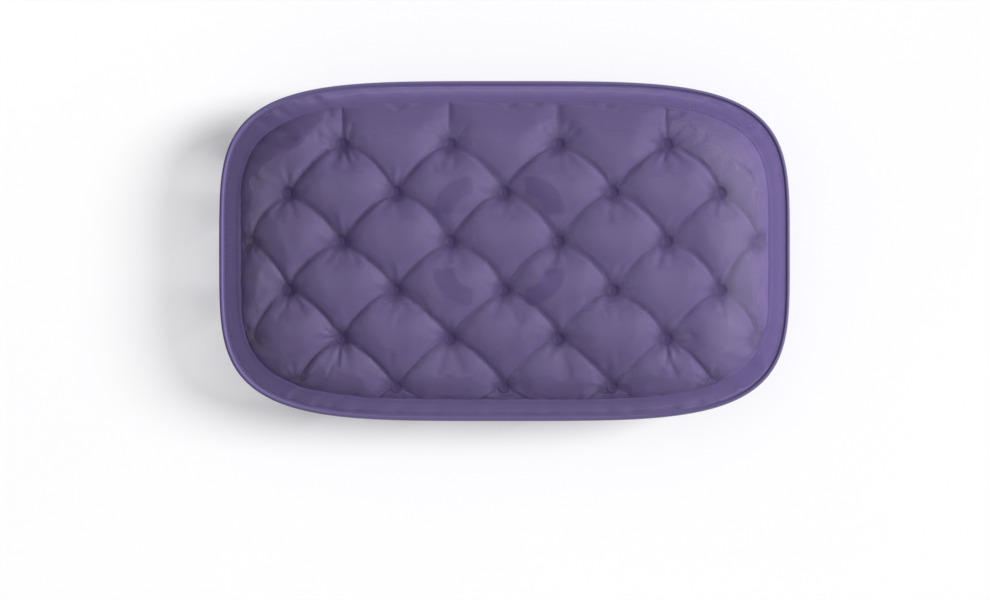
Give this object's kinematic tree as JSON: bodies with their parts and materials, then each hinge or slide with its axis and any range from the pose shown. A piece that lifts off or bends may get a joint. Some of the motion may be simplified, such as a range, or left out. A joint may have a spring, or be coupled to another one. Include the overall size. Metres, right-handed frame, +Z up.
{
  "type": "inflatable camp pillow",
  "caption": "Rounded inflatable camp pillow: see-through violet fabric cover over a tied air core, quarter-ring lock patches below and a capped air valve at a rear corner.",
  "frame": {"origin": "on the floor under the middle of the pillow's overall length and depth, at the underside of the lock patches", "axes": "+X along the pillow's length, +Y from the front edge to the rear edge at the top of the sleeper's head, +Z up; the valve is at the -X +Y corner of the underside"},
  "size_m": [0.564, 0.336, 0.125],
  "materials": {
    "cover_fabric": "satin",
    "trim_fabric": "matte",
    "patch_fabric": "matte",
    "core_fabric": "satin",
    "core_weld": "matte",
    "valve_plastic": "satin",
    "seal_rubber": "matte",
    "pin_metal": "satin"
  },
  "bodies": {
    "pillow": {"cover_top_panel": "cover_fabric", "cover_bottom_panel": "cover_fabric", "seam_piping": "trim_fabric", "valve_opening_binding": "trim_fabric", "lock_patch_front_left": "patch_fabric", "lock_patch_front_right": "patch_fabric", "lock_patch_rear_left": "patch_fabric", "lock_patch_rear_right": "patch_fabric", "core_top_sheet": "core_fabric", "core_bottom_sheet": "core_fabric", "core_rim_weld": "core_weld", "core_ties": "core_fabric", "core_top_tie_welds": "core_weld", "core_bottom_tie_welds": "core_weld", "valve_base": "valve_plastic", "valve_weld_ring": "core_weld", "collar_hinge_pin": "pin_metal"},
    "collar": {"valve_collar": "valve_plastic", "collar_seal": "seal_rubber", "cap_hinge_pin": "pin_metal"},
    "flap": {"valve_flap": "seal_rubber", "flap_stem": "valve_plastic"},
    "cap": {"inflation_cap": "valve_plastic", "cap_seal": "seal_rubber"}
  },
  "joints": [
    {"name": "collar_hinge", "type": "hinge", "parent": "pillow", "child": "collar", "pos_m": [-0.2252, 0.13647, 0.03003], "axis": [0.838, 0.5457, 0], "range_deg": [0, 110]},
    {"name": "cap_hinge", "type": "hinge", "parent": "collar", "child": "cap", "pos_m": [-0.22865, 0.12015, 0.02004], "axis": [-0.4622, 0.7097, 0.5317], "range_deg": [0, 150]},
    {"name": "flap_press", "type": "slide", "parent": "collar", "child": "flap", "axis": [0.2901, -0.4455, 0.847], "range_m": [0, 0.002], "stiffness_N_per_m": 60}
  ]
}
